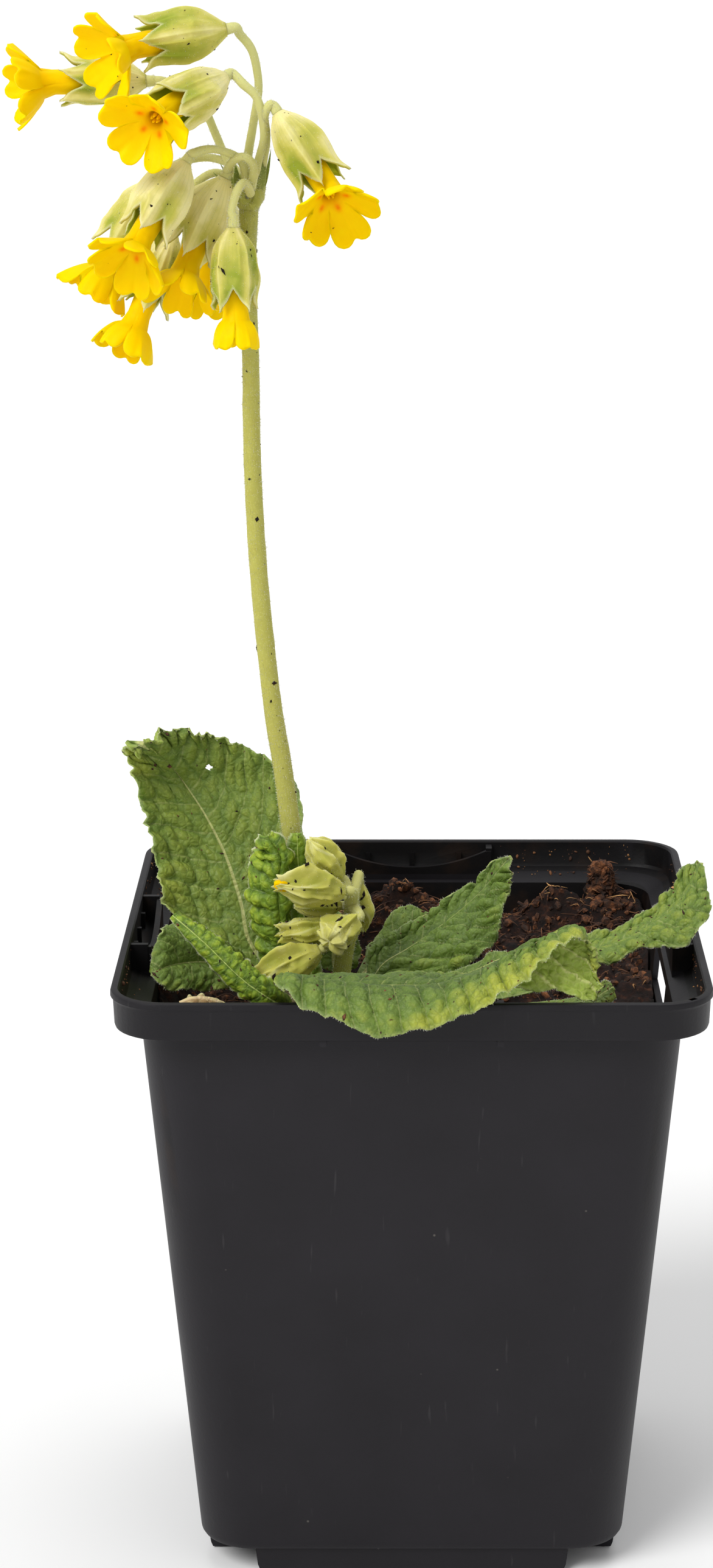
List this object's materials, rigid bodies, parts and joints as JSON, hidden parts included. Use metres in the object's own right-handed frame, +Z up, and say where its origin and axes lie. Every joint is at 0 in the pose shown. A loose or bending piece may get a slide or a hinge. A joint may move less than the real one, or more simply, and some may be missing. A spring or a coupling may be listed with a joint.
{
  "type": "potted cowslip",
  "caption": "Cowslip in a square black nursery pot: crinkled leaf rosette, a tall stalk of nodding yellow flowers and a short stalk of closed buds.",
  "frame": {"origin": "middle of the pot's foot, on the surface that it stands on", "axes": "+Z up; the front of the pot faces -Y; the tall stalk stands at -X of the middle"},
  "size_m": [0.1076, 0.095, 0.2388],
  "materials": {
    "pot_plastic": "matte charcoal, fine scratches",
    "peat": "rough fibrous brown peat",
    "rootstock": "pale fibrous root",
    "stem": "soft matte, finely hairy pale green",
    "calyx": "soft matte, finely hairy pale yellow-green",
    "petal": "silky matte yellow",
    "leaf": "matte crinkled green with pale veins",
    "young_leaf": "matte blistered bright green",
    "dry_leaf": "dry papery tan"
  },
  "bodies": {
    "root": {"pot": "pot_plastic", "peat": "peat", "rootstock": "rootstock", "tall_stalk": "stem", "short_stalk": "stem", "calyx_a": "calyx", "calyx_b": "calyx", "calyx_c": "calyx", "calyx_d": "calyx", "calyx_e": "calyx", "calyx_f": "calyx", "calyx_g": "calyx", "calyx_h": "calyx", "calyx_i": "calyx", "calyx_j": "calyx", "corolla_a": "petal", "corolla_b": "petal", "corolla_c": "petal", "corolla_d": "petal", "corolla_e": "petal", "corolla_f": "petal", "corolla_g": "petal", "corolla_h": "petal", "corolla_i": "petal", "corolla_j": "petal", "bud_1": "calyx", "bud_2": "calyx", "bud_3": "calyx", "bud_4": "calyx", "bud_5": "calyx", "bud_6": "calyx", "bud_7": "calyx", "leaf_back_left": "leaf", "leaf_low_left": "leaf", "leaf_right": "leaf", "leaf_back": "leaf", "leaf_front": "leaf", "leaf_far_right": "leaf", "leaf_middle": "leaf", "leaf_small_right": "leaf", "leaf_low_right": "leaf", "leaf_young_front": "young_leaf", "leaf_young_left": "young_leaf", "leaf_young_middle": "young_leaf", "leaf_dry": "dry_leaf"}
  },
  "joints": []
}
